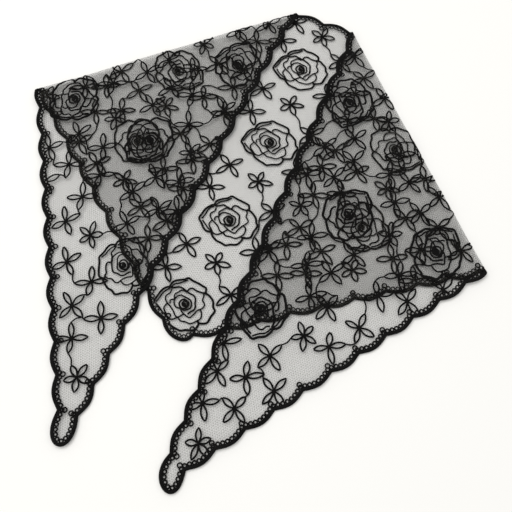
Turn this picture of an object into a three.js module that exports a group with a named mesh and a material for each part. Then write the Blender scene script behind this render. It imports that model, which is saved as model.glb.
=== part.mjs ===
// Triangular lace headscarf, lying folded: both tips are turned over onto the base layer.
// Millimetres, +Z up. The scarf is drawn flat first, in its own frame: x runs along the long
// hem from its middle, y points from the apex to the long hem. Then it is folded and turned.
import * as THREE from 'three';
import { mergeVertices } from 'three/addons/utils/BufferGeometryUtils.js';

// Walls and clearances
const NET_WALL = 1.0;
const BORDER_WALL = 1.6;
const BORDER_WIDTH = 7.5;
const ROSE_WALL = 0.7;
const GAP = 0.3;

// Corners of the flat scarf, where the lines of its hems meet
const CORNERS = {
  tip_left: { x: -575, y: 6 },
  apex: { x: 11, y: -413 },
  tip_right: { x: 574, y: 11 },
  nape: { x: 1, y: -10 },
};

// Round ends of three corners. taper narrows a round end towards its tip, or widens it below 0.
const ROUND_ENDS = {
  tip_left: { x: -570, y: 1.5, taper: -0.9 },
  apex: { x: 12, y: -411, taper: 0.3 },
  tip_right: { x: 568, y: 2, taper: -1.2 },
};

// Hems, counter-clockwise. first and last are the plain lengths next to the two corners,
// where a round end takes the place of a scallop. hollow is how far the middle is drawn inward.
const HEMS = [
  { from: 'tip_left', to: 'apex', scallops: 20, first: 40, last: 24, hollow: 2.5 },
  { from: 'apex', to: 'tip_right', scallops: 20, first: 20, last: 36, hollow: 2.6 },
  { from: 'tip_right', to: 'nape', scallops: 17, first: 38, last: 0, hollow: 0.3 },
  { from: 'nape', to: 'tip_left', scallops: 17, first: 0, last: 37, hollow: 4.3 },
];
const SCALLOP_DEPTH = 4.5;
const SCALLOP_STEPS = 5;
const ROUND_STEPS = 8;

// Folds: the folded edge runs through a point of the long hem. Its flap is on the side of one
// tip, and lies across one hem of the base layer, which is numbered as in the list above.
const FOLDS = [
  { x: -36.6, y: -12, angle: 44.1, tip: 'tip_left', hem: 0 },
  { x: 37.8, y: -10, angle: -42.9, tip: 'tip_right', hem: 1 },
];
const BEND_STEPS = 4;
const FLAP_CLEARANCE = NET_WALL + GAP + ROSE_WALL + GAP;
const STACK = FLAP_CLEARANCE + BORDER_WALL;
const BEND_RADIUS = STACK / 2;
const BEND_LENGTH = Math.PI * (BEND_RADIUS - NET_WALL / 2);

// Past the hem of the base layer a flap comes down to the surface that the scarf lies on.
const RAMP_ROWS = [
  { out: 6, fall: 0 },
  { out: 14, fall: 0.26 },
  { out: 22, fall: 0.74 },
  { out: 30, fall: 1 },
];

// Roses stand in a half-drop repeat. column counts along the long hem, row towards the apex,
// and dx and dy say how far the loose cloth has drawn a rose from its place in the repeat.
const REPEAT_COLUMN = { x: 126.6, y: 51.7 };
const REPEAT_ROW = { x: 2.6, y: -98.8 };
const FIRST_ROSE = { x: 1, y: -79 };
const ROSES = [
  { column: -3, row: -2, dx: -7, dy: 4 },
  { column: -2, row: -1, dx: -2, dy: 6 },
  { column: -2, row: 0, dx: 4, dy: 5 },
  { column: -1, row: -1, dx: 0, dy: -5 },
  { column: -1, row: 0, dx: 3, dy: -5 },
  { column: -1, row: 1, dx: 1, dy: -4 },
  { column: 0, row: 0, dx: 0, dy: 2 },
  { column: 0, row: 1, dx: 4, dy: 1 },
  { column: 0, row: 2, dx: 0, dy: 0 },
  { column: 0, row: 3, dx: -4, dy: 0 },
  { column: 1, row: 0, dx: 0, dy: -5 },
  { column: 1, row: 1, dx: 3, dy: -3 },
  { column: 1, row: 2, dx: 1, dy: -2 },
  { column: 2, row: 1, dx: -3, dy: 3 },
  { column: 2, row: 2, dx: 3, dy: 6 },
  { column: 3, row: 1, dx: -4, dy: 1 },
];
const ROSE_RADIUS = 28;
const ROSE_PETALS = 5;
const PETAL_WAVE = 0.06;
const PETAL_OPENING = { inner: 0.58, outer: 0.86, share: 0.84 };
const ROSE_MARGIN = BORDER_WIDTH + SCALLOP_DEPTH;

// Turn of the long hem in plan
const PLAN_TURN = -24.8;

const radians = THREE.MathUtils.degToRad;
const mix = THREE.MathUtils.lerp;
const point = (x, y) => new THREE.Vector2(x, y);
const corner = (name) => point(CORNERS[name].x, CORNERS[name].y);

// Straight lines, each with a unit vector that points to its far side

function lineThrough(a, b) {
  const along = b.clone().sub(a).normalize();
  return { start: a.clone(), far: point(along.y, -along.x) };
}

function distanceTo(line, p) {
  return p.clone().sub(line.start).dot(line.far);
}

function shifted(line, distance) {
  return { start: line.start.clone().addScaledVector(line.far, distance), far: line.far };
}

function mirrored(p, line) {
  return p.clone().addScaledVector(line.far, -2 * distanceTo(line, p));
}

function mirroredLine(line, mirror) {
  const end = line.start.clone().add(line.far);
  const start = mirrored(line.start, mirror);
  return { start, far: mirrored(end, mirror).sub(start) };
}

const HEM_LINES = HEMS.map((hem) => lineThrough(corner(hem.from), corner(hem.to)));

for (const fold of FOLDS) {
  const start = point(fold.x, fold.y);
  const along = point(Math.cos(radians(fold.angle)), Math.sin(radians(fold.angle)));
  const edge = lineThrough(start, start.clone().add(along));
  if (distanceTo(edge, corner(fold.tip)) < 0) {
    edge.far.negate();
  }
  fold.line = shifted(edge, -BEND_RADIUS);
  fold.base_hem = HEM_LINES[fold.hem];
}

// Folding a point of the flat scarf: height is measured from its underside.

function fallOf(out) {
  const next = RAMP_ROWS.findIndex((row) => row.out > out);
  if (next === 0) {
    return 0;
  }
  if (next < 0) {
    return 1;
  }
  const [a, b] = [RAMP_ROWS[next - 1], RAMP_ROWS[next]];
  return mix(a.fall, b.fall, (out - a.out) / (b.out - a.out));
}

function folded(p, height) {
  for (const fold of FOLDS) {
    const past = distanceTo(fold.line, p);
    if (past <= 0) {
      continue;
    }
    const turn = Math.min(past / BEND_LENGTH, 1) * Math.PI;
    const radius = BEND_RADIUS - height;
    const back = Math.max(past - BEND_LENGTH, 0);
    const plan = p.clone().addScaledVector(fold.line.far, radius * Math.sin(turn) - past - back);
    const fall = fallOf(distanceTo(fold.base_hem, plan)) * FLAP_CLEARANCE;
    return new THREE.Vector3(plan.x, plan.y, BEND_RADIUS - radius * Math.cos(turn) - fall);
  }
  return new THREE.Vector3(p.x, p.y, height);
}

// Cutting a flat polygon along a line gives the pieces on both sides of it.

function crossing(a, b, line) {
  const [da, db] = [distanceTo(line, a), distanceTo(line, b)];
  return a.clone().lerp(b, da / (da - db));
}

function chainsOf(polygon, line) {
  const sides = polygon.map((p) => distanceTo(line, p) > 0);
  const start = sides.findIndex((side, i) => side !== sides.at(i - 1));
  if (start < 0) {
    return null;
  }
  const chains = [];
  for (let i = 0; i < polygon.length; i += 1) {
    const k = (start + i) % polygon.length;
    const before = (k + polygon.length - 1) % polygon.length;
    if (sides[k] !== sides[before]) {
      const cut = crossing(polygon[before], polygon[k], line);
      chains.at(-1)?.points.push(cut);
      chains.push({ far: sides[k], points: [cut] });
    }
    chains.at(-1).points.push(polygon[k]);
  }
  chains.at(-1).points.push(chains[0].points[0]);
  return chains;
}

function cutPolygon(polygon, line) {
  const chains = chainsOf(polygon, line);
  if (!chains) {
    return [polygon];
  }
  const along = point(-line.far.y, line.far.x);
  const cuts = chains.map((chain) => chain.points[0]).sort((a, b) => a.dot(along) - b.dot(along));
  const partner = (cut) => cuts[cuts.indexOf(cut) ^ 1];
  const pieces = [];
  const used = new Set();
  for (const first of chains) {
    if (used.has(first)) {
      continue;
    }
    const piece = [];
    let chain = first;
    while (!used.has(chain)) {
      used.add(chain);
      piece.push(...chain.points);
      const next = partner(chain.points.at(-1));
      chain = chains.find((other) => other.points[0] === next);
    }
    pieces.push(piece);
  }
  return pieces;
}

function cutAll(polygons, lines) {
  return lines.reduce((pieces, line) => pieces.flatMap((piece) => cutPolygon(piece, line)), polygons);
}

function centreOf(polygon) {
  const sum = polygon.reduce((total, p) => total.add(p), point(0, 0));
  return sum.divideScalar(polygon.length);
}

function cutForFolding(polygons) {
  let pieces = polygons;
  for (const fold of FOLDS) {
    const steps = Array.from({ length: BEND_STEPS + 1 }, (_, i) => i / BEND_STEPS);
    pieces = cutAll(pieces, steps.map((step) => shifted(fold.line, step * BEND_LENGTH)));
    const flapStart = shifted(fold.line, BEND_LENGTH);
    const mirror = shifted(fold.line, BEND_LENGTH / 2);
    const ramps = RAMP_ROWS.map((row) => mirroredLine(shifted(fold.base_hem, row.out), mirror));
    const isFlap = (piece) => distanceTo(flapStart, centreOf(piece)) > 0;
    const flap = cutAll(pieces.filter(isFlap), ramps);
    pieces = [...pieces.filter((piece) => !isFlap(piece)), ...flap];
  }
  return pieces;
}

// A folded sheet is one closed body between two heights over flat polygons.

function foldedSheet(polygons, low, high) {
  const corners = new Map();
  const edges = new Map();
  const faces = [];
  const keyOf = (p) => `${Math.round(p.x * 1000)},${Math.round(p.y * 1000)}`;
  const noted = (p) => {
    const key = keyOf(p);
    if (!corners.has(key)) {
      corners.set(key, p);
    }
    return key;
  };
  for (const polygon of cutForFolding(polygons)) {
    const keys = polygon.map(noted);
    const ring = keys.filter((key, i) => key !== keys.at(i - 1)).map((key) => corners.get(key));
    for (const face of THREE.ShapeUtils.triangulateShape(ring, [])) {
      faces.push(face.map((i) => ring[i]));
    }
  }
  const triangles = [];
  for (const [a, b, c] of faces) {
    triangles.push(folded(a, high), folded(b, high), folded(c, high));
    triangles.push(folded(a, low), folded(c, low), folded(b, low));
    for (const [from, to] of [[a, b], [b, c], [c, a]]) {
      edges.set(`${keyOf(from)} ${keyOf(to)}`, [from, to]);
    }
  }
  for (const [from, to] of edges.values()) {
    if (!edges.has(`${keyOf(to)} ${keyOf(from)}`)) {
      triangles.push(folded(from, low), folded(to, low), folded(to, high));
      triangles.push(folded(from, low), folded(to, high), folded(from, high));
    }
  }
  const geometry = new THREE.BufferGeometry().setFromPoints(triangles);
  return mergeVertices(geometry, 1e-4);
}

// Scalloped outline, counter-clockwise

function hemPoint(hem, distance) {
  const [from, to] = [corner(hem.from), corner(hem.to)];
  const share = distance / from.distanceTo(to);
  const inward = lineThrough(from, to).far.negate();
  return from.lerp(to, share).addScaledVector(inward, 4 * hem.hollow * share * (1 - share));
}

function notches(hem) {
  const length = corner(hem.from).distanceTo(corner(hem.to));
  const pitch = (length - hem.first - hem.last) / hem.scallops;
  return Array.from({ length: hem.scallops + 1 }, (_, i) => hemPoint(hem, hem.first + i * pitch));
}

function scallop(a, b) {
  const out = lineThrough(a, b).far;
  return Array.from({ length: SCALLOP_STEPS }, (_, i) => {
    const share = i / SCALLOP_STEPS;
    const rise = SCALLOP_DEPTH * Math.sin(Math.PI * share);
    return a.clone().lerp(b, share).addScaledVector(out, rise);
  });
}

function roundEnd(a, end, b) {
  const middle = a.clone().lerp(b, 0.5);
  const reach = point(end.x, end.y).sub(middle).multiplyScalar(4 / 3);
  const [near, far] = [a, b].map((side) => side.clone().lerp(middle, end.taper).add(reach));
  return new THREE.CubicBezierCurve(a, near, far, b).getPoints(ROUND_STEPS).slice(0, -1);
}

function scallopedOutline() {
  const rows = HEMS.map(notches);
  return HEMS.flatMap((hem, i) => {
    const row = rows[i];
    const scallops = row.slice(0, -1).flatMap((notch, k) => scallop(notch, row[k + 1]));
    const end = ROUND_ENDS[hem.to];
    const next = rows[(i + 1) % HEMS.length][0];
    return end ? [...scallops, ...roundEnd(row.at(-1), end, next)] : scallops;
  });
}

function insetOutline(outline, distance) {
  return outline.map((p, i) => {
    const inward = lineThrough(outline.at(i - 1), outline[(i + 1) % outline.length]).far.negate();
    return p.clone().addScaledVector(inward, distance);
  });
}

const OUTLINE = scallopedOutline();

function borderPolygons() {
  const inner = insetOutline(OUTLINE, BORDER_WIDTH);
  return OUTLINE.map((p, i) => {
    const next = (i + 1) % OUTLINE.length;
    return [p, OUTLINE[next], inner[next], inner[i]];
  });
}

// A rose is a wavy disc with one opening behind each petal. It stops short of the hems and bends.

function roseCentre({ column, row, dx, dy }) {
  return point(
    FIRST_ROSE.x + column * REPEAT_COLUMN.x + row * REPEAT_ROW.x + dx,
    FIRST_ROSE.y + column * REPEAT_COLUMN.y + row * REPEAT_ROW.y + dy,
  );
}

function rosePolygons(centre) {
  const petal = (2 * Math.PI) / ROSE_PETALS;
  const spot = (radius, turn) => {
    const wave = 1 + PETAL_WAVE * Math.cos(turn * ROSE_PETALS);
    return point(Math.cos(turn), Math.sin(turn)).multiplyScalar(radius * wave).add(centre);
  };
  const rimSteps = ROSE_PETALS * 4;
  const rim = Array.from({ length: rimSteps }, (_, i) => spot(ROSE_RADIUS, (i * petal) / 4));
  const { inner, outer, share } = PETAL_OPENING;
  const openings = Array.from({ length: ROSE_PETALS }, (_, i) => {
    const turn = (side) => (i + (side * share) / 2) * petal;
    return [
      spot(inner * ROSE_RADIUS, turn(-1)), spot(inner * ROSE_RADIUS, turn(0)),
      spot(inner * ROSE_RADIUS, turn(1)), spot(outer * ROSE_RADIUS, turn(0.8)),
      spot(outer * ROSE_RADIUS, turn(0)), spot(outer * ROSE_RADIUS, turn(-0.8)),
    ].reverse();
  });
  const all = [...rim, ...openings.flat()];
  const faces = THREE.ShapeUtils.triangulateShape(rim, openings);
  return faces.map((face) => face.map((i) => all[i]));
}

function isBeside(p, hem) {
  const [from, to] = [corner(hem.from), corner(hem.to)];
  const along = to.sub(from);
  const share = p.clone().sub(from).dot(along) / along.lengthSq();
  return share > 0 && share < 1;
}

function keptNear(polygons, line) {
  const near = cutAll(polygons, [line]);
  return near.filter((piece) => distanceTo(line, centreOf(piece)) < 0);
}

function roseSheet(centre) {
  const onFlap = FOLDS.find((fold) => distanceTo(fold.line, centre) > 0);
  let polygons = rosePolygons(centre);
  for (const [i, line] of HEM_LINES.entries()) {
    if (isBeside(centre, HEMS[i])) {
      polygons = keptNear(polygons, shifted(line, -ROSE_MARGIN));
    }
  }
  for (const { line } of FOLDS) {
    const bendEnd = shifted(line, BEND_LENGTH + BEND_RADIUS);
    const back = { start: bendEnd.start, far: bendEnd.far.clone().negate() };
    polygons = keptNear(polygons, onFlap?.line === line ? back : shifted(line, -GAP));
  }
  const low = onFlap ? -GAP - ROSE_WALL : NET_WALL + GAP;
  return foldedSheet(polygons, low, low + ROSE_WALL);
}

// Assembly

const netCloth = new THREE.MeshStandardMaterial({
  color: 0x55544f, roughness: 0.95, metalness: 0, flatShading: true,
});
const blackThread = new THREE.MeshStandardMaterial({
  color: 0x111112, roughness: 0.7, metalness: 0, flatShading: true,
});

const scarf = new THREE.Group();

function addPiece(name, geometry, material) {
  const mesh = new THREE.Mesh(geometry, material.clone());
  mesh.name = name;
  scarf.add(mesh);
}

const netOutline = insetOutline(OUTLINE, BORDER_WIDTH + GAP);
addPiece('net_ground', foldedSheet([netOutline], 0, NET_WALL), netCloth);
addPiece('scalloped_border', foldedSheet(borderPolygons(), 0, BORDER_WALL), blackThread);

ROSES.forEach((rose, i) => {
  const name = `rose_${String(i + 1).padStart(2, '0')}`;
  addPiece(name, roseSheet(roseCentre(rose)), blackThread);
});

// The scarf lies with its long hem turned in plan, and the origin under the middle of its outline.
scarf.rotation.z = radians(PLAN_TURN);
scarf.updateMatrixWorld(true);
const extent = new THREE.Box3().setFromObject(scarf, true);
const middle = extent.getCenter(new THREE.Vector3());
scarf.position.set(-middle.x, -middle.y, -extent.min.z);

export default scarf;
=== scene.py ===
"""Looks of the folded lace headscarf: sheer net, corded roses and flowers, and a ringed border.

The cloth is drawn flat in millimetres, in the scarf's own frame: x runs along the long hem
from its middle, y points from the apex to the long hem. It is then folded, turned and placed.
"""

import math

import bpy
import numpy as np
from mathutils import Matrix, Vector
from mathutils.geometry import delaunay_2d_cdt


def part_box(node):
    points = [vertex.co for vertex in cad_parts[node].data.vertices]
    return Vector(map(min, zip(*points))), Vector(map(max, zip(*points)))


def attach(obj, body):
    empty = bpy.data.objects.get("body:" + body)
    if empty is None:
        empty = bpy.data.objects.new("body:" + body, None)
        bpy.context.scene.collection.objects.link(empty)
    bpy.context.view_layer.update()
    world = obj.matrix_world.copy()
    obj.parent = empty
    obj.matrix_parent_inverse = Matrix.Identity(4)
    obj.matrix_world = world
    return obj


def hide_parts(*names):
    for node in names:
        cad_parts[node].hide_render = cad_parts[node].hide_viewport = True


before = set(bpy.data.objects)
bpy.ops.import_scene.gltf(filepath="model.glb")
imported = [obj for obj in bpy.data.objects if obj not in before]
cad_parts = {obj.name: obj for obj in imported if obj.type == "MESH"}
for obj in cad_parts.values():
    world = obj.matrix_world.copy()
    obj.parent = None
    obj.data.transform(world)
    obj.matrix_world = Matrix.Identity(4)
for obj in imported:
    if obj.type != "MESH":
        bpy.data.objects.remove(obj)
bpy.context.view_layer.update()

MM = 0.001

# Cloth and its folded stack, in millimetres
NET_HEIGHT = 0.5
BORDER_HEIGHT = 0.8
STACK = 3.9
BEND_RADIUS = STACK / 2
BEND_LENGTH = math.pi * (BEND_RADIUS - NET_HEIGHT)
FLAP_CLEARANCE = 2.3
RAMP_OUT = (6, 14, 22, 30)
RAMP_FALL = (0, 0.26, 0.74, 1)

# Corners of the flat scarf, where the lines of its hems meet
CORNERS = {
    "tip_left": (-575, 6),
    "apex": (11, -413),
    "tip_right": (574, 11),
    "nape": (1, -10),
}

# Round ends of three corners: end, and taper, which widens the round end below 0
ROUND_ENDS = {
    "tip_left": {"end": (-570, 1.5), "taper": -0.9},
    "apex": {"end": (12, -411), "taper": 0.3},
    "tip_right": {"end": (568, 2), "taper": -1.2},
}

# Hems, counter-clockwise. first and last are the plain lengths next to the two corners,
# where a round end takes the place of a scallop. hollow is how far the middle is drawn inward.
HEMS = [
    {"from": "tip_left", "to": "apex", "scallops": 20, "first": 40, "last": 24, "hollow": 2.5},
    {"from": "apex", "to": "tip_right", "scallops": 20, "first": 20, "last": 36, "hollow": 2.6},
    {"from": "tip_right", "to": "nape", "scallops": 17, "first": 38, "last": 0, "hollow": 0.3},
    {"from": "nape", "to": "tip_left", "scallops": 17, "first": 0, "last": 37, "hollow": 4.3},
]
SCALLOP_DEPTH = 4.5
SCALLOP_STEPS = 10
ROUND_STEPS = 24

# Folds: the folded edge runs through a point of the long hem. Its flap is on the side of one
# tip, and lies across one hem of the base layer, which is numbered as in the list above.
FOLDS = [
    {"through": (-36.6, -12), "angle": 44.1, "tip": "tip_left", "hem": 0},
    {"through": (37.8, -10), "angle": -42.9, "tip": "tip_right", "hem": 1},
]

# Turn of the long hem in plan
PLAN_TURN = -24.8

# Camera, from the scarf frame's origin, with the photograph's tilt from straight down
CAMERA_FOOT = (-82.8, -531.8)
CAMERA_HEIGHT = 656.8
CAMERA_TILT = 20.04
CAMERA_ROLL = -0.32
CAMERA_LENS = 48.6
CAMERA_SENSOR = 36

# Nearest distance that the camera sees, floor and light, in metres
CAMERA_NEAREST = 0.05
FLOOR_HALF = 3.0
FLOOR_DEPTH = 0.0004
FLOOR_COLOUR = (0.86, 0.86, 0.885)
LIGHT_COLOUR = (1, 0.99, 0.93)
SKY_STRENGTH = 0.76
SOFTBOX_SIZE = 2.2
SOFTBOX_ENERGY = 30
SOFTBOX_PLACE = (-0.6, 0.5, 2.2)

# Waves of the loosely laid cloth: height, length, direction of travel and start, in degrees
WAVES = [
    {"height": 0.9, "length": 118, "heading": 35, "start": 40},
    {"height": 0.6, "length": 74, "heading": 118, "start": 200},
    {"height": 0.3, "length": 41, "heading": 170, "start": 90},
]
FLAP_WAVE = {"height": 1.2, "length": 92, "heading": 78, "start": 10}
FLAP_WAVE_RISE = 45

# Border: a satin-stitched cord at the edge, and a row of small ring loops inside it. Their
# thread is heavier on a flap, which shows its other face, than on the base layer and the tips.
CORD_WIDTH = 3.6
CORD_THICKNESS = 1.5
CORD_STEP = 1.1
RING_DISTANCE = 5.0
RING_PITCH = 4.6
RING_RADIUS = 1.75
RING_THREADS = {"base": 1.2, "flap": 2.2, "tip": 1.6}
CUSP_RING_THREAD = 1.5
CUSP_RING_DISTANCE = 7.2
CUSP_RING_RADIUS = 2.2
RING_SIDES = 12
NET_INSET = 5.2
POINTS_AT_ONCE = 4000

# Mesh of the net: a grid, and closer rows of points along both bends
GRID_STEP = 7.0
BEND_CLEARANCE = 1.5
BEND_ROWS = 7
BEND_POINT_STEP = 6.0
BEND_REACH = 700
EDGE_CLEARANCE = 1.5
WELD_DISTANCE = 1e-4

# Threads of the sheer net itself, which cross in three directions
WEAVE_THREAD = 0.1
WEAVE_SPACING = 2.1
WEAVE_STEP = 8.0
WEAVE_BEND_STEP = 1.0
WEAVE_HEIGHT = 0.62
WEAVE_HALVINGS = 6
WEAVE_ANGLES = (30, 90, 150)

# Look of the net's ground between its threads: pitch of its hexagons, and how much it hides
HEXAGON_PITCH = 1.5
NET_ALPHA = 0.13
# Painted shade of soft wrinkles in the net: size of its darker and lighter patches, and how far they
# shift the net's colour
NET_WRINKLE_SHADE_SCALE = 14
NET_WRINKLE_SHADE = 0.25
NET_COLOURS = [(0.15, (0.012, 0.012, 0.011)), (0.6, (0.07, 0.068, 0.06))]
NET_ROUGHNESS = (0.6, 0.95)
HEXAGON_BUMP = 0.4
HEXAGON_RELIEF = 0.2

# Look of the black thread: its colour is painted darker in the grooves between stitches and lighter on
# their crests, as painted shade, over an uneven tone
THREAD_COLOURS = [(0.35, (0.0022, 0.0022, 0.0025)), (1.0, (0.009, 0.0088, 0.0092))]
FIBRE_SCALE = 2600
WEAR_SCALE = 60
STITCH_BUMP = 0.7
STITCH_RELIEF = 0.25

# Threads of the embroidery
THREAD_THICKNESS = 0.9
FLOWER_THREAD = 1.85
STEM_THREAD = 1.5
FLOWER_STEP = 1.9
STEM_BOW = 0.12

# Roses stand in a half-drop repeat. column counts along the long hem, row towards the apex,
# and dx and dy say how far a rose lies from its place in the repeat.
# The roses of every other column are turned.
REPEAT_COLUMN = (126.6, 51.7)
REPEAT_ROW = (2.6, -98.8)
FIRST_ROSE = (1, -79)
ROSES = [
    {"column": -3, "row": -2, "dx": -7, "dy": 4},
    {"column": -2, "row": -1, "dx": -2, "dy": 6},
    {"column": -2, "row": 0, "dx": 4, "dy": 5},
    {"column": -1, "row": -1, "dx": 0, "dy": -5},
    {"column": -1, "row": 0, "dx": 3, "dy": -5},
    {"column": -1, "row": 1, "dx": 1, "dy": -4},
    {"column": 0, "row": 0, "dx": 0, "dy": 2},
    {"column": 0, "row": 1, "dx": 4, "dy": 1},
    {"column": 0, "row": 2, "dx": 0, "dy": 0},
    {"column": 0, "row": 3, "dx": -4, "dy": 0},
    {"column": 1, "row": 0, "dx": 0, "dy": -5},
    {"column": 1, "row": 1, "dx": 3, "dy": -3},
    {"column": 1, "row": 2, "dx": 1, "dy": -2},
    {"column": 2, "row": 1, "dx": -3, "dy": 3},
    {"column": 2, "row": 2, "dx": 3, "dy": 6},
    {"column": 3, "row": 1, "dx": -4, "dy": 1},
]

# Lines of one rose, charted from its heart as the scarf lies, so that x runs to the right.
# The outer petals have a heavy thread, and a second light one beside it in places.
ROSE_LINES = [
    {"thread": "heavy", "points": [
        (-15.7, 18.5), (-13.3, 22.7), (-9.6, 25.1), (-4.6, 25.8), (-0.9, 26.5), (3.4, 27.9),
        (7.7, 24.8), (13.9, 22), (19.4, 18.5), (21.3, 16.4), (21.3, 11.5)]},
    {"thread": "heavy", "points": [
        (18.8, 11.5), (22.5, 10.8), (25.6, 7.3), (28.4, 2.4), (29, -3.1), (30.5, -7.3),
        (26.2, -13.6), (23.1, -19.2), (18.8, -20.2), (14.5, -19.9)]},
    {"thread": "heavy", "points": [
        (12.6, -17.8), (14.5, -20.6), (11.4, -25.5), (7.7, -27.2), (1.5, -27.2), (-3.4, -27.6),
        (-8.3, -24.8), (-13.3, -22), (-17, -17.8), (-18.8, -13.3)]},
    {"thread": "heavy", "points": [
        (-18.8, -13.3), (-23.8, -11.5), (-26.8, -8), (-29.3, -2.4), (-31.8, 3.1), (-28.1, 8.7),
        (-25, 13.6), (-21.3, 17.1), (-17, 18.5), (-12.6, 17.1)]},
    {"thread": "light", "points": [
        (-14.2, 18.2), (-10.9, 20.8), (-6.6, 22.6), (-2.4, 23.3), (2.8, 25.6)]},
    {"thread": "light", "points": [
        (-29.4, 2.6), (-25.4, 7.8), (-22.6, 12), (-18.8, 15.4), (-15.8, 16.6)]},
    {"thread": "light", "points": [
        (-28, 0.4), (-25.2, -4.2), (-22.4, -8.2), (-19, -11.4), (-16.6, -15.4)]},
    {"thread": "light", "points": [
        (-13.9, 15.7), (-15.1, 12.2), (-19.4, 9.4), (-20.1, 5.2), (-17.6, 1), (-14.5, -2.4),
        (-11.4, -7.3), (-9.6, -11.5), (-5.9, -14.3), (-3.4, -17.1), (1.5, -18.5), (6.5, -20.2),
        (12.6, -17.8), (16.4, -15), (17.3, -10.1), (15.7, -5.9)]},
    {"thread": "light", "points": [
        (-17.6, 1), (-21.3, -4.2), (-18.8, -10.1), (-17, -13.6), (-13.3, -15.7), (-9.6, -15),
        (-5.9, -12.9), (-0.9, -10.1)]},
    {"thread": "light", "points": [
        (18.8, 11.5), (19.1, 8), (18.2, 3.8), (20.1, -1), (18.2, -4.5), (13.9, -6.6),
        (9.6, -10.1), (5.9, -14.3), (1.5, -12.2), (-2.2, -8.7), (-4.6, -5.2)]},
    {"thread": "middle", "points": [
        (2.8, 14.3), (4.6, 16.4), (7.7, 16.8), (11.4, 14.7), (14.5, 12.6), (18.8, 11.5)]},
    {"thread": "middle", "points": [
        (-12.6, 17.1), (-9.6, 17.5), (-5.9, 18.1), (-2.8, 16.4), (1.5, 13.6), (4.6, 11.5),
        (8.9, 8.7), (10.8, 5.2), (10.5, 1), (10.8, -3.1), (8.9, -6.6), (5.9, -8), (2.8, -10.8)]},
    {"thread": "light", "points": [
        (-10.8, 5.9), (-10.8, 10.1), (-7.1, 12.9), (-2.8, 14.7), (1.5, 12.6)]},
    {"thread": "light", "points": [(-15.1, 1), (-14.5, 3.8), (-10.8, 5.2)]},
    {"thread": "light", "closed": True, "points": [
        (-3.4, 9.4), (-7.7, 8.7), (-10.8, 4.5), (-10.5, 0.3), (-8.3, -3.1), (-4.6, -4.5),
        (-0.9, -6.3), (2.8, -5.9), (5.9, -3.8), (7.1, -0.3), (5.9, 3.8), (2.8, 5.9), (0.3, 7.3)]},
    {"thread": "middle", "closed": True, "points": [
        (-5.9, 0.3), (-4.6, 3.1), (-0.9, 5.2), (3.4, 2.4), (4, -1), (1.5, -4.5), (-3.4, -3.8)]},
    {"thread": "middle", "closed": True, "points": [
        (-2.2, 1), (-0.3, 3.8), (2.8, 1), (1.5, -2.4), (-1.5, -1.7)]},
]
ROSE_THREADS = {"heavy": 2.2, "middle": 1.8, "light": 1.55}
# The threads of a rose on a flap are heavier by this factor
FLAP_ROSE_GAIN = 1.18
ROSE_STEP = 1.5
ROSE_HEART_RADIUS = 1.3
ROSE_HEART_TURNS = 2
ROSE_HEART_STEP = 0.9
ROSE_HEART_POINTS = 24
ROSE_HEART_START = 0.2
ROSE_WOBBLE = 0.25
ROSE_SCALE = 0.97
ODD_COLUMN_TURN = 156

# Kinds of flower: the direction in degrees and the length of each petal, as the scarf lies
PETALS = {
    "cross": [(-2, 16.5), (92, 16), (180, 16), (-77, 17)],
    "open_cross": [(26, 15.6), (-56, 17.5), (214, 17), (126, 15.5)],
    "saltire": [(142, 15), (215, 17.5), (35, 16), (-56, 17)],
    "upright": [(187, 17.5), (97, 15.5), (5, 16), (-85, 16.5)],
    "star": [(142, 14.3), (62, 12.8), (-11, 15.3), (-74, 13.9), (212, 12.6)],
}
PETAL_WIDTH = 5.4
PETAL_POINTS = 13
PETAL_POINT, PETAL_FULLNESS = 1.15, 0.9
# How unevenly petals are sewn: turn in degrees, and range of the length and of the width
PETAL_TURN = 4
PETAL_LENGTHS = (0.94, 1.04)
PETAL_WIDTHS = (0.9, 1.12)
FLOWER_SEED = 5

# Flowers of one repeat: place from the rose in the flat scarf, and its petals with no stem
FLOWERS = [
    {"x": -34.6, "y": 26.6, "petals": "cross"},
    {"x": -28.2, "y": -41.2, "petals": "open_cross", "free": (1,)},
    {"x": 36.9, "y": 27.7, "petals": "saltire"},
    {"x": 40.3, "y": -18.8, "petals": "upright"},
    {"x": 7.7, "y": -47.0, "petals": "star", "free": (0, 1, 2, 4)},
    {"x": -60.0, "y": 13.0, "petals": "cross"},
    {"x": -58.0, "y": -27.0, "petals": "saltire"},
    {"x": -65.0, "y": 47.0, "petals": "upright"},
]
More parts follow.
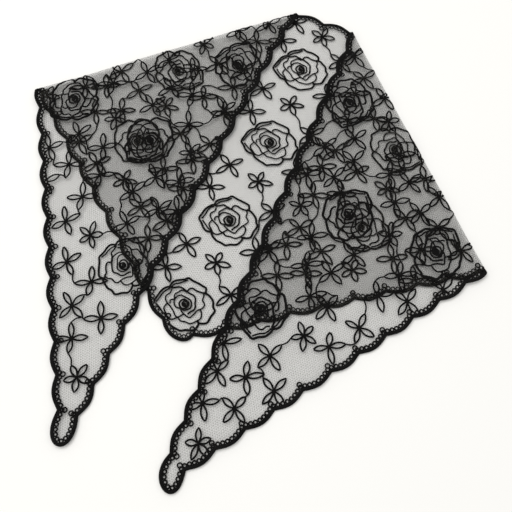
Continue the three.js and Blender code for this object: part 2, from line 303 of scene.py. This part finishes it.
# Flowers of the two long tips, which keep to the tip's shape: place in the flat scarf, kind,
# and turn of the petals in degrees. The places were worked out from the photograph.
TIP_FLOWERS = [
    {"x": -345, "y": -108, "petals": "saltire", "turn": 0},
    {"x": -376, "y": -110, "petals": "cross", "turn": 12},
    {"x": -378, "y": -79, "petals": "star", "turn": -28},
    {"x": -413, "y": -86, "petals": "cross", "turn": 8},
    {"x": -420, "y": -53, "petals": "saltire", "turn": 0},
    {"x": -450, "y": -57, "petals": "cross", "turn": -8},
    {"x": -448, "y": -25, "petals": "open_cross", "turn": 0},
    {"x": -508, "y": -16, "petals": "star", "turn": -6},
    {"x": -478, "y": -40, "petals": "saltire", "turn": 0},
    {"x": -311, "y": -170, "petals": "cross", "turn": 10},
    {"x": -319, "y": -140, "petals": "saltire", "turn": 0},
    {"x": 424, "y": 0, "petals": "saltire", "turn": 0},
    {"x": 451, "y": -4, "petals": "cross", "turn": 0},
    {"x": 447, "y": -31, "petals": "saltire", "turn": 0},
    {"x": 420, "y": -46, "petals": "cross", "turn": 0},
    {"x": 390, "y": -70, "petals": "star", "turn": -28},
    {"x": 392, "y": -96, "petals": "saltire", "turn": 0},
    {"x": 450, "y": -61, "petals": "cross", "turn": 0},
    {"x": 478, "y": -32, "petals": "cross", "turn": -5},
    {"x": 484, "y": -2, "petals": "open_cross", "turn": 0},
    {"x": 519, "y": -12, "petals": "star", "turn": -10},
    {"x": 364, "y": -118, "petals": "cross", "turn": -23},
    {"x": 355, "y": -82, "petals": "cross", "turn": 0},
    {"x": 327, "y": -125, "petals": "open_cross", "turn": 0},
    {"x": 323, "y": -154, "petals": "cross", "turn": -8},
    {"x": 299, "y": -184, "petals": "cross", "turn": -5},
    {"x": -347, "y": -153, "petals": "cross", "turn": 10},
]
# Flowers of the tips that a stem joins, by their numbers in the table above
TIP_STEMS = [
    (0, 1), (3, 4), (4, 5), (5, 6), (5, 8), (7, 8), (9, 10), (10, 26), (13, 14), (13, 17),
    (13, 18), (14, 15), (16, 21), (18, 19), (21, 23),
]
# A regular flower is left out where one of a tip is closer to it than this
FLOWER_SPACING = 18
# Elsewhere a stem joins two petals of different flowers whose tips are this near
STEM_REACH = 20
FIRST_COLUMN, LAST_COLUMN = -5, 5
FIRST_ROW, LAST_ROW = -4, 5


# Straight lines in the flat cloth


def unit(angle):
    return np.array([math.cos(math.radians(angle)), math.sin(math.radians(angle))])


def line_through(a, b):
    """A line from a, with the unit vector to its right, which is outward on a hem."""
    along = (b - a) / np.linalg.norm(b - a)
    return a, np.array([along[1], -along[0]])


def distance_to(line, points):
    return (points - line[0]) @ line[1]


def corner(name):
    return np.array(CORNERS[name], float)


HEM_LINES = [line_through(corner(hem["from"]), corner(hem["to"])) for hem in HEMS]


def fold_line(fold):
    """Where a bend starts: the folded edge lies one bend radius further out."""
    start = np.array(fold["through"], float)
    line = line_through(start, start + unit(fold["angle"]))
    far = line[1] * np.sign(distance_to(line, corner(fold["tip"])))
    return start - BEND_RADIUS * far, far


FOLD_LINES = [fold_line(fold) for fold in FOLDS]


# Folding, turning and placing


def wave_height(wave, plan):
    phase = 2 * math.pi * (plan @ unit(wave["heading"])) / wave["length"]
    return wave["height"] * (0.5 + 0.5 * np.sin(phase + math.radians(wave["start"])))


def fold_cloth(flat, height):
    """Flat points and their heights over the cloth's underside, as folded points in plan."""
    x_y = flat.astype(float).copy()
    z = np.array(height, float) * np.ones(len(flat))
    lift = np.zeros(len(flat))
    for fold, (start, far) in zip(FOLDS, FOLD_LINES):
        past = (flat - start) @ far
        bent = past > 0
        turn = np.clip(past / BEND_LENGTH, 0, 1) * math.pi
        radius = BEND_RADIUS - np.array(height, float) * np.ones(len(flat))
        back = np.maximum(past - BEND_LENGTH, 0)
        plan = flat + np.outer(radius * np.sin(turn) - past - back, far)
        out = distance_to(HEM_LINES[fold["hem"]], plan)
        fall = np.interp(out, RAMP_OUT, RAMP_FALL) * FLAP_CLEARANCE
        x_y[bent] = plan[bent]
        z[bent] = (BEND_RADIUS - radius * np.cos(turn) - fall)[bent]
        lift += np.clip(back / FLAP_WAVE_RISE, 0, 1)
    z += sum(wave_height(wave, x_y) for wave in WAVES)
    z += lift * wave_height(FLAP_WAVE, x_y)
    return np.column_stack([x_y, z])


def turned(points):
    cos, sin = unit(PLAN_TURN)
    x, y = points[:, 0], points[:, 1]
    return np.column_stack([cos * x - sin * y, sin * x + cos * y, points[:, 2:]])


# Scalloped outline, counter-clockwise


def notches(hem):
    a, b = corner(hem["from"]), corner(hem["to"])
    length = np.linalg.norm(b - a)
    pitch = (length - hem["first"] - hem["last"]) / hem["scallops"]
    share = (hem["first"] + pitch * np.arange(hem["scallops"] + 1)) / length
    inward = -line_through(a, b)[1]
    return a + np.outer(share, b - a) + np.outer(4 * hem["hollow"] * share * (1 - share), inward)


def scallop(a, b):
    share = np.arange(SCALLOP_STEPS) / SCALLOP_STEPS
    rise = SCALLOP_DEPTH * np.sin(math.pi * share)
    return a + np.outer(share, b - a) + np.outer(rise, line_through(a, b)[1])


def round_end(a, b, end, taper):
    middle = (a + b) / 2
    reach = (np.array(end, float) - middle) * 4 / 3
    near, far = (side + taper * (middle - side) + reach for side in (a, b))
    t = (np.arange(ROUND_STEPS) / ROUND_STEPS)[:, None]
    return (1 - t) ** 3 * a + 3 * t * (1 - t) ** 2 * near + 3 * t**2 * (1 - t) * far + t**3 * b


def scalloped_outline():
    rows = [notches(hem) for hem in HEMS]
    parts = []
    for i, hem in enumerate(HEMS):
        row = rows[i]
        parts += [scallop(row[k], row[k + 1]) for k in range(hem["scallops"])]
        if hem["to"] in ROUND_ENDS:
            parts.append(round_end(row[-1], rows[(i + 1) % len(HEMS)][0], **ROUND_ENDS[hem["to"]]))
    return np.concatenate(parts), np.concatenate(rows)


OUTLINE, NOTCHES = scalloped_outline()


def inset(outline, distance):
    along = np.roll(outline, -1, axis=0) - np.roll(outline, 1, axis=0)
    along /= np.linalg.norm(along, axis=1)[:, None]
    return outline + distance * np.column_stack([-along[:, 1], along[:, 0]])


# The middle of the outline's box in plan meets the middle of the CAD border's, so that both share one
# place.
border_low, border_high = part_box("scalloped_border")
outline_plan = turned(fold_cloth(OUTLINE, BORDER_HEIGHT))
outline_middle = (outline_plan.min(axis=0) + outline_plan.max(axis=0))[:2] / 2
border_middle = np.array((border_low + border_high).xy) / 2 / MM
PLACE = border_middle - outline_middle


def placed(flat, height):
    """Flat points with heights, in metres where the cloth lies."""
    points = turned(fold_cloth(flat, height))
    points[:, :2] += PLACE
    return points * MM


# Meshes


def new_piece(name, points, faces, material, stitch=None):
    mesh = bpy.data.meshes.new(name)
    mesh.from_pydata(points.tolist(), [], faces.tolist())
    mesh.polygons.foreach_set("use_smooth", [True] * len(mesh.polygons))
    if stitch is not None:
        layer = mesh.uv_layers.new(name="stitch")
        layer.data.foreach_set("uv", stitch.astype(np.float32).ravel())
    mesh.materials.append(material)
    mesh.validate()
    piece = bpy.data.objects.new(name, mesh)
    bpy.context.scene.collection.objects.link(piece)
    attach(piece, "root")
    return piece


SECTION = np.array([(1, 0), (0.55, 0.9), (-0.55, 0.9), (-1, 0), (-0.55, -0.9), (0.55, -0.9)])


class Threads:
    """Tubes laid on the flat cloth, joined into one mesh."""

    def __init__(self):
        self.flat, self.height, self.faces, self.stitch, self.count = [], [], [], [], 0

    def add(self, path, width, thickness, height, closed=False):
        if len(path) < 2:
            return
        if closed:
            along = np.roll(path, -1, axis=0) - np.roll(path, 1, axis=0)
        else:
            along = np.gradient(path, axis=0)
        along /= np.maximum(np.linalg.norm(along, axis=1), 1e-9)[:, None]
        across = np.column_stack([along[:, 1], -along[:, 0]])
        sides, steps = len(SECTION), len(path)
        self.flat.append((path[:, None] + across[:, None] * SECTION[:, :1] * width / 2).reshape(-1, 2))
        self.height.append(np.tile(height + SECTION[:, 1] * thickness / 2, steps))
        ring = np.arange(steps if closed else steps - 1)[:, None]
        side = np.arange(sides)[None]
        here = self.count + ring * sides
        there = self.count + (ring + 1) % steps * sides
        after = (side + 1) % sides
        faces = np.stack([here + side, there + side, there + after, here + after], -1)
        self.faces.append(faces.reshape(-1, 4))
        gap = np.linalg.norm(np.roll(path, -1, axis=0) - path, axis=1)
        length = np.concatenate([[0], np.cumsum(gap)])
        u0, u1 = length[ring[:, 0]], length[ring[:, 0] + 1]
        v0 = np.arange(sides) / sides
        v1 = v0 + 1 / sides
        uv = np.empty((len(ring), sides, 4, 2))
        uv[:, :, 0, 0] = uv[:, :, 3, 0] = u0[:, None]
        uv[:, :, 1, 0] = uv[:, :, 2, 0] = u1[:, None]
        uv[:, :, 0, 1] = uv[:, :, 1, 1] = v0
        uv[:, :, 2, 1] = uv[:, :, 3, 1] = v1
        self.stitch.append(uv.reshape(-1, 2))
        self.count += steps * sides
        if not closed:
            self.cap(self.count - steps * sides, False)
            self.cap(self.count - sides, True)

    def cap(self, first, far):
        """Two quads close a tube's six-sided end."""
        quads = np.array([(0, 1, 2, 3), (0, 3, 4, 5)]) + first
        self.faces.append(quads if far else quads[:, ::-1])
        self.stitch.append(np.zeros((8, 2)))

    def piece(self, name, material):
        points = placed(np.concatenate(self.flat), np.concatenate(self.height))
        faces, stitch = np.concatenate(self.faces), np.concatenate(self.stitch)
        return new_piece(name, points, faces, material, stitch=stitch)


def spaced(path, step, closed=False):
    """The path again, with even steps."""
    ends = np.vstack([path, path[:1]]) if closed else path
    length = np.concatenate([[0], np.cumsum(np.linalg.norm(np.diff(ends, axis=0), axis=1))])
    count = max(2, round(length[-1] / step))
    at = np.linspace(0, length[-1], count + 1)
    if closed:
        at = at[:-1]
    return np.column_stack([np.interp(at, length, ends[:, k]) for k in range(2)])


def is_inside(points, outline):
    """For each point, True inside a closed outline."""
    a, b = outline, np.roll(outline, -1, axis=0)
    inside = []
    for block in np.array_split(points, len(points) // POINTS_AT_ONCE + 1):
        x, y = block[:, :1], block[:, 1:]
        crosses = (a[:, 1] > y) != (b[:, 1] > y)
        height = np.where(crosses, b[:, 1] - a[:, 1], 1)
        at = a[:, 0] + (y - a[:, 1]) / height * (b[:, 0] - a[:, 0])
        inside.append((crosses & (x < at)).sum(axis=1) % 2 == 1)
    return np.concatenate(inside)


def clipped(path, outline):
    """The stretches of a path that lie inside an outline."""
    inside = is_inside(path, outline)
    breaks = np.flatnonzero(np.diff(inside.astype(int))) + 1
    runs = np.split(path, breaks)
    keep = np.split(inside, breaks)
    return [run for run, kept in zip(runs, keep) if kept[0]]


def smooth_curve(points, steps=8):
    """A curve through the points."""
    padded = np.vstack([2 * points[0] - points[1], points, 2 * points[-1] - points[-2]])
    t = (np.arange(steps) / steps)[:, None]
    parts = []
    for k in range(1, len(padded) - 2):
        a, b, c, d = padded[k - 1 : k + 3]
        curve = 2 * b + (c - a) * t + (2 * a - 5 * b + 4 * c - d) * t**2
        parts.append((curve + (3 * b - a - 3 * c + d) * t**3) / 2)
    return np.vstack([*parts, points[-1:]])


# Materials


def new_material(name, colour, roughness, specular):
    material = bpy.data.materials.new(name)
    material.use_nodes = True
    shader = material.node_tree.nodes["Principled BSDF"]
    shader.inputs["Base Color"].default_value = (*colour, 1)
    shader.inputs["Roughness"].default_value = roughness
    shader.inputs["Specular IOR Level"].default_value = specular
    return material, shader


def add_node(material, kind, **values):
    node = material.node_tree.nodes.new(kind)
    for name, value in values.items():
        setattr(node, name, value)
    return node


def link(material, source, target):
    material.node_tree.links.new(source, target)


def math_node(material, operation, a, b=None):
    node = add_node(material, "ShaderNodeMath", operation=operation)
    for socket, value in zip(node.inputs, (a, b)):
        if isinstance(value, bpy.types.NodeSocket):
            link(material, value, socket)
        elif value is not None:
            socket.default_value = value
    return node.outputs[0]


def colour_ramp(material, source, stops):
    ramp = add_node(material, "ShaderNodeValToRGB")
    elements = ramp.color_ramp.elements
    while len(elements) < len(stops):
        elements.new(0.5)
    for element, (place, colour) in zip(elements, stops):
        element.position = place
        element.color = (*colour, 1)
    link(material, source, ramp.inputs["Fac"])
    return ramp.outputs["Color"]


def noise(material, coordinates, scale, detail=3):
    node = add_node(material, "ShaderNodeTexNoise")
    node.inputs["Scale"].default_value = scale
    node.inputs["Detail"].default_value = detail
    link(material, coordinates, node.inputs["Vector"])
    return node.outputs["Fac"]


def bump(material, shader, height, strength, distance):
    node = add_node(material, "ShaderNodeBump")
    node.inputs["Strength"].default_value = strength
    node.inputs["Distance"].default_value = distance
    link(material, height, node.inputs["Height"])
    link(material, node.outputs["Normal"], shader.inputs["Normal"])


def net_material():
    """Sheer net: three waves at 60 degrees draw its hexagons, thread against opening."""
    material, shader = new_material("sheer_net", (0.04, 0.04, 0.038), 0.85, 0.2)
    place = add_node(material, "ShaderNodeTexCoord").outputs["Object"]
    axis = add_node(material, "ShaderNodeSeparateXYZ")
    link(material, place, axis.inputs[0])
    frequency = 2 * math.pi / (HEXAGON_PITCH * MM) / math.cos(math.radians(30))
    waves = []
    for angle in (0, 60, 120):
        cos, sin = unit(angle)
        x = math_node(material, "MULTIPLY", axis.outputs["X"], cos * frequency)
        y = math_node(material, "MULTIPLY", axis.outputs["Y"], sin * frequency)
        waves.append(math_node(material, "COSINE", math_node(material, "ADD", x, y)))
    total = math_node(material, "ADD", math_node(material, "ADD", waves[0], waves[1]), waves[2])
    hexagon = math_node(material, "DIVIDE", math_node(material, "ADD", total, 1.5), 4.5)
    # Painted shade of soft wrinkles: noise patches make the net's colour darker and lighter in turn,
    # on top of its hexagons
    wrinkle_shade_noise = noise(material, place, NET_WRINKLE_SHADE_SCALE)
    painted_wrinkle_shade = math_node(material, "MULTIPLY", wrinkle_shade_noise, NET_WRINKLE_SHADE)
    tone_and_painted_light = math_node(material, "ADD", hexagon, painted_wrinkle_shade)
    colour = colour_ramp(material, tone_and_painted_light, NET_COLOURS)
    link(material, colour, shader.inputs["Base Color"])
    rough = add_node(material, "ShaderNodeMapRange")
    rough.inputs["To Min"].default_value, rough.inputs["To Max"].default_value = NET_ROUGHNESS
    link(material, hexagon, rough.inputs["Value"])
    link(material, rough.outputs[0], shader.inputs["Roughness"])
    hollow = math_node(material, "SUBTRACT", 1, hexagon)
    bump(material, shader, hollow, HEXAGON_BUMP, HEXAGON_RELIEF * MM)
    shader.inputs["Alpha"].default_value = NET_ALPHA
    return material


def thread_material(name, stitch_length, twist, roughness):
    """Black thread: stitches cross it every stitch_length, slanted by twist."""
    material, shader = new_material(name, (0.005, 0.005, 0.0055), roughness, 0.03)
    uv = add_node(material, "ShaderNodeUVMap", uv_map="stitch")
    axis = add_node(material, "ShaderNodeSeparateXYZ")
    link(material, uv.outputs["UV"], axis.inputs[0])
    along = math_node(material, "MULTIPLY", axis.outputs["X"], 2 * math.pi / stitch_length)
    around = math_node(material, "MULTIPLY", axis.outputs["Y"], 2 * math.pi * twist)
    ridge = math_node(material, "SINE", math_node(material, "ADD", along, around))
    ridge = math_node(material, "ADD", math_node(material, "MULTIPLY", ridge, 0.5), 0.5)
    place = add_node(material, "ShaderNodeTexCoord").outputs["Object"]
    fibre = noise(material, place, FIBRE_SCALE)
    height = math_node(material, "ADD", ridge, math_node(material, "MULTIPLY", fibre, 0.5))
    bump(material, shader, height, STITCH_BUMP, STITCH_RELIEF * MM)
    wear = noise(material, place, WEAR_SCALE)
    # Painted shade: the stitch ridge colours the grooves between stitches darker and their crests
    # lighter; the wear noise adds an uneven tone
    tone_and_painted_light = math_node(material, "ADD", math_node(material, "MULTIPLY", ridge, 0.5), wear)
    colour = colour_ramp(material, tone_and_painted_light, THREAD_COLOURS)
    link(material, colour, shader.inputs["Base Color"])
    return material


# Sheer net


def net_points():
    """Points inside the net, on a grid and in rows along both bends."""
    low, high = OUTLINE.min(axis=0), OUTLINE.max(axis=0)
    columns = np.arange(low[0], high[0], GRID_STEP)
    x, y = np.meshgrid(columns, np.arange(low[1], high[1], GRID_STEP))
    x[1::2] += GRID_STEP / 2
    points = np.column_stack([x.ravel(), y.ravel()])
    for start, far in FOLD_LINES:
        past = (points - start) @ far
        points = points[(past < -BEND_CLEARANCE) | (past > BEND_LENGTH + BEND_CLEARANCE)]
    rows = []
    for start, far in FOLD_LINES:
        along = np.array([-far[1], far[0]])
        places = np.arange(-BEND_REACH, BEND_REACH, BEND_POINT_STEP)
        for share in np.linspace(0, 1, BEND_ROWS):
            rows.append(start + share * BEND_LENGTH * far + np.outer(places, along))
    points = np.concatenate([points, *rows])
    return points[is_inside(points, inset(OUTLINE, NET_INSET + EDGE_CLEARANCE))]


def sheer_net(material):
    edge = inset(OUTLINE, NET_INSET)
    points = np.concatenate([edge, net_points()])
    ring = list(range(len(edge)))
    made = delaunay_2d_cdt([Vector(p) for p in points], [], [ring], 1, WELD_DISTANCE)
    flat = np.array([tuple(p) for p in made[0]])
    faces = np.array([face for face in made[2] if len(face) == 3])
    return new_piece("sheer_net", placed(flat, NET_HEIGHT), faces, material)


def is_bent(points):
    """True in either bend."""
    bent = np.zeros(len(points), bool)
    for start, far in FOLD_LINES:
        past = (points - start) @ far
        bent |= (past > 0) & (past < BEND_LENGTH)
    return bent


def is_flat_net(points):
    return is_inside(points, inset(OUTLINE, NET_INSET)) & ~is_bent(points)


def is_bent_net(points):
    bent = is_bent(points)
    bent[bent] = is_inside(points[bent], inset(OUTLINE, NET_INSET))
    return bent


def trimmed(inner, outer, is_kept):
    """Ends of threads that leave the net or a bend: where they leave it."""
    for _ in range(WEAVE_HALVINGS):
        middle = (inner + outer) / 2
        kept = is_kept(middle)[:, None]
        inner, outer = np.where(kept, middle, inner), np.where(kept, outer, middle)
    return inner


def weave_ribbons(angle, step, is_kept):
    """Corners of the ribbons that run at an angle, in pieces of one step."""
    low, high = OUTLINE.min(axis=0), OUTLINE.max(axis=0)
    reach = np.linalg.norm(high - low)
    along, across = unit(angle), unit(angle + 90)
    offset, place = np.meshgrid(
        np.arange(-reach, reach, WEAVE_SPACING), np.arange(-reach, reach, step)
    )
    start = offset.reshape(-1, 1) * across + place.reshape(-1, 1) * along
    end = start + step * along
    near = ((start > low - step) & (start < high + step)).all(axis=1)
    start, end = start[near], end[near]
    first, last = is_kept(start), is_kept(end)
    leaving, entering = first & ~last, last & ~first
    end[leaving] = trimmed(start[leaving], end[leaving], is_kept)
    start[entering] = trimmed(end[entering], start[entering], is_kept)
    start, end = start[first | last], end[first | last]
    side = across * WEAVE_THREAD / 2
    corners = [start - side, end - side, end + side, start + side]
    return np.stack(corners, axis=1).reshape(-1, 2)


def weave_threads(material):
    """The net's own threads, as thin ribbons in one mesh, in short pieces around the bends."""
    ribbons = []
    for angle in WEAVE_ANGLES:
        ribbons.append(weave_ribbons(angle, WEAVE_STEP, is_flat_net))
        ribbons.append(weave_ribbons(angle, WEAVE_BEND_STEP, is_bent_net))
    flat = np.concatenate(ribbons)
    faces = np.arange(len(flat)).reshape(-1, 4)
    return new_piece("net_weave", placed(flat, WEAVE_HEIGHT), faces, material)


def layer_at(place):
    """The layer of one place in the flat cloth: a flap's tip lies clear of the base."""
    for fold, (start, far) in zip(FOLDS, FOLD_LINES):
        if (place - start) @ far > 0:
            plan = fold_cloth(place[None], NET_HEIGHT)[:, :2]
            on_base = distance_to(HEM_LINES[fold["hem"]], plan)[0] < 0
            return "flap" if on_base else "tip"
    return "base"


# Border


def border_cord(material):
    threads = Threads()
    path = spaced(inset(OUTLINE, CORD_WIDTH / 2), CORD_STEP, closed=True)
    threads.add(path, CORD_WIDTH, CORD_THICKNESS, BORDER_HEIGHT, closed=True)
    return threads.piece("border_cord", material)


def ring_path(centre, radius):
    turn = 2 * math.pi * np.arange(RING_SIDES) / RING_SIDES
    return centre + radius * np.column_stack([np.cos(turn), np.sin(turn)])


def border_rings(material):
    threads = Threads()
    cusps = inset(OUTLINE, CUSP_RING_DISTANCE)
    cusps = cusps[[np.linalg.norm(OUTLINE - notch, axis=1).argmin() for notch in NOTCHES]]
    for centre in cusps:
        ring = ring_path(centre, CUSP_RING_RADIUS)
        threads.add(ring, CUSP_RING_THREAD, THREAD_THICKNESS, BORDER_HEIGHT, closed=True)
    for centre in spaced(inset(OUTLINE, RING_DISTANCE), RING_PITCH, closed=True):
        ring = ring_path(centre, RING_RADIUS)
        width = RING_THREADS[layer_at(centre)]
        threads.add(ring, width, THREAD_THICKNESS, BORDER_HEIGHT, closed=True)
    return threads.piece("border_rings", material)


# Embroidery


def cell_place(column, row):
    return (
        np.array(FIRST_ROSE, float)
        + column * np.array(REPEAT_COLUMN)
        + row * np.array(REPEAT_ROW)
    )


DRIFT = {(rose["column"], rose["row"]): np.array((rose["dx"], rose["dy"]), float) for rose in ROSES}


def lay(threads, path, step, width, closed=False):
    """Lays a thread on the net, and cuts off what would pass the border's rings."""
    edge = inset(OUTLINE, NET_INSET)
    if closed and is_inside(path, edge).all():
        threads.add(spaced(path, step, True), width, THREAD_THICKNESS, NET_HEIGHT, closed=True)
        return
    whole = np.vstack([path, path[:1]]) if closed else path
    for run in clipped(spaced(whole, step), edge):
        threads.add(run, width, THREAD_THICKNESS, NET_HEIGHT)


def charted(points, turn):
    """Points of the chart, which is drawn as the scarf lies, in the flat scarf's frame."""
    x, y = ROSE_SCALE * np.array(points, float).T
    cos, sin = unit(turn - PLAN_TURN)
    return np.column_stack([cos * x - sin * y, sin * x + cos * y])


def rose_threads(rose, number):
    threads = Threads()
    random = np.random.default_rng(number)
    centre = cell_place(rose["column"], rose["row"]) + DRIFT[rose["column"], rose["row"]]
    turn = ODD_COLUMN_TURN * (rose["column"] % 2)
    gain = FLAP_ROSE_GAIN if layer_at(centre) == "flap" else 1
    for line in ROSE_LINES:
        points = charted(line["points"], turn)
        points += random.normal(0, ROSE_WOBBLE, points.shape)
        closed = line.get("closed", False)
        if closed:
            points = np.vstack([points, points[:1]])
        curve = smooth_curve(points)
        path = centre + (curve[:-1] if closed else curve)
        lay(threads, path, ROSE_STEP, gain * ROSE_THREADS[line["thread"]], closed)
    turns = np.linspace(0, ROSE_HEART_TURNS * 360, ROSE_HEART_POINTS)
    radii = np.linspace(ROSE_HEART_START, ROSE_HEART_RADIUS, ROSE_HEART_POINTS)
    heart = centre + np.array([radius * unit(turn) for radius, turn in zip(radii, turns)])
    lay(threads, heart, ROSE_HEART_STEP, gain * ROSE_THREADS["middle"])
    return threads


def petal_loop(centre, turn, length, width):
    share = np.linspace(0, 1, PETAL_POINTS)
    half = width / 2 * np.sin(math.pi * share**PETAL_POINT) ** PETAL_FULLNESS
    out = np.column_stack([share * length, half])
    back = np.column_stack([share * length, -half])[-2:0:-1]
    loop = np.vstack([out, back])
    along = unit(turn)
    return centre + np.outer(loop[:, 0], along) + np.outer(loop[:, 1], [-along[1], along[0]])


def add_flower(threads, centre, kind, turn, free, random):
    """Lays one flower, and gives the tips of the petals that can have a stem."""
    tips = []
    for number, (angle, length) in enumerate(PETALS[kind]):
        direction = angle + turn - PLAN_TURN + random.uniform(-PETAL_TURN, PETAL_TURN)
        size = length * random.uniform(*PETAL_LENGTHS)
        width = PETAL_WIDTH * random.uniform(*PETAL_WIDTHS)
        lay(threads, petal_loop(centre, direction, size, width), FLOWER_STEP, FLOWER_THREAD, True)
        if number not in free:
            tips.append(centre + size * unit(direction))
    return tips


def stem_path(start, end):
    """A stem that bows a little to one side."""
    side = np.array([-(end - start)[1], (end - start)[0]])
    middle = (start + end) / 2 + STEM_BOW * side
    return smooth_curve(np.array([start, middle, end]))


def add_stems(threads, flowers, tip_flowers):
    """Joins the nearest petal tips of neighbouring flowers, each tip once.

    Two flowers of a scarf tip are joined only where the table says so, and there a petal tip
    may have more than one stem.
    """
    tips = np.array([tip for tips in flowers + tip_flowers for tip in tips])
    counts = [len(tips) for tips in flowers + tip_flowers]
    owner = np.repeat(np.arange(len(counts)), counts)
    gaps = np.linalg.norm(tips[:, None] - tips[None], axis=2)
    gaps[owner[:, None] == owner[None]] = np.inf
    near = gaps < STEM_REACH
    tip_owned = owner >= len(flowers)
    near[np.ix_(tip_owned, tip_owned)] = False
    for pair in TIP_STEMS:
        one, other = (owner == len(flowers) + number for number in pair)
        choice = np.where(np.outer(one, other), gaps, np.inf)
        a, b = np.unravel_index(choice.argmin(), choice.shape)
        lay(threads, stem_path(tips[a], tips[b]), FLOWER_STEP, STEM_THREAD)
    first, second = np.nonzero(np.triu(near))
    joined = set()
    for k in np.argsort(gaps[first, second]):
        if not joined & {first[k], second[k]}:
            joined |= {first[k], second[k]}
            lay(threads, stem_path(tips[first[k]], tips[second[k]]), FLOWER_STEP, STEM_THREAD)


def regular_flowers():
    """Each flower of the repeat on the base layer or on a flap over it, clear of the tips' own."""
    tip_places = np.array([(flower["x"], flower["y"]) for flower in TIP_FLOWERS])
    ground = inset(OUTLINE, NET_INSET)
    found = []
    for column in range(FIRST_COLUMN, LAST_COLUMN + 1):
        for row in range(FIRST_ROW, LAST_ROW + 1):
            cell = cell_place(column, row) + DRIFT.get((column, row), 0)
            for flower in FLOWERS:
                place = cell + np.array((flower["x"], flower["y"]))
                clear = np.linalg.norm(tip_places - place, axis=1).min() > FLOWER_SPACING
                if clear and is_inside(place[None], ground)[0] and layer_at(place) != "tip":
                    found.append((place, flower["petals"], 0, flower.get("free", ())))
    return found


def flower_threads():
    threads = Threads()
    random = np.random.default_rng(FLOWER_SEED)
    flowers = [add_flower(threads, *flower, random) for flower in regular_flowers()]
    tip_flowers = []
    for flower in TIP_FLOWERS:
        place = np.array((flower["x"], flower["y"]), float)
        petal_tips = add_flower(threads, place, flower["petals"], flower["turn"], (), random)
        tip_flowers.append(petal_tips)
    add_stems(threads, flowers, tip_flowers)
    return threads


# Assembly

net = sheer_net(net_material())
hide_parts("net_ground")

weave = weave_threads(thread_material("weave_thread", 0.6, 1, 0.7))

satin = thread_material("satin_cord", 0.8, 0, 0.55)
corded = thread_material("corded_thread", 1.1, 1, 0.62)

cord = border_cord(satin)
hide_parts("scalloped_border")
rings = border_rings(corded)

for number, rose in enumerate(ROSES, start=1):
    name = f"rose_{number:02d}"
    piece = rose_threads(rose, number).piece(f"{name}_petals", corded)
    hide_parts(name)

flower_threads().piece("flowers", corded)

# Floor, light and camera


def make_floor():
    mesh = bpy.data.meshes.new("floor")
    half = FLOOR_HALF
    corners = [(-half, -half, 0), (half, -half, 0), (half, half, 0), (-half, half, 0)]
    mesh.from_pydata(corners, [], [(0, 1, 2, 3)])
    material, shader = new_material("pale_floor", FLOOR_COLOUR, 0.9, 0.0)
    mesh.materials.append(material)
    floor = bpy.data.objects.new("floor", mesh)
    bpy.context.scene.collection.objects.link(floor)
    floor.location.z = -FLOOR_DEPTH


def make_light():
    world = bpy.data.worlds.new("studio")
    bpy.context.scene.world = world
    world.use_nodes = True
    background = world.node_tree.nodes["Background"]
    background.inputs["Color"].default_value = (*LIGHT_COLOUR, 1)
    background.inputs["Strength"].default_value = SKY_STRENGTH
    data = bpy.data.lights.new("softbox", "AREA")
    data.shape = "DISK"
    data.size = SOFTBOX_SIZE
    data.energy = SOFTBOX_ENERGY
    data.color = LIGHT_COLOUR
    light = bpy.data.objects.new("softbox", data)
    light.location = SOFTBOX_PLACE
    light.rotation_euler = (-light.location).to_track_quat("-Z", "Y").to_euler()
    bpy.context.scene.collection.objects.link(light)


def make_camera():
    data = bpy.data.cameras.new("camera")
    data.sensor_width = CAMERA_SENSOR
    data.lens = CAMERA_LENS
    data.clip_start = CAMERA_NEAREST
    camera = bpy.data.objects.new("camera", data)
    foot = np.array(CAMERA_FOOT) + PLACE
    camera.location = (foot[0] * MM, foot[1] * MM, CAMERA_HEIGHT * MM)
    tilt = Matrix.Rotation(math.radians(CAMERA_TILT), 4, "X")
    roll = Matrix.Rotation(math.radians(CAMERA_ROLL), 4, "Z")
    camera.rotation_euler = (tilt @ roll).to_euler()
    bpy.context.scene.collection.objects.link(camera)
    bpy.context.scene.camera = camera


make_floor()
make_light()
make_camera()
bpy.context.scene.view_settings.view_transform = "Standard"
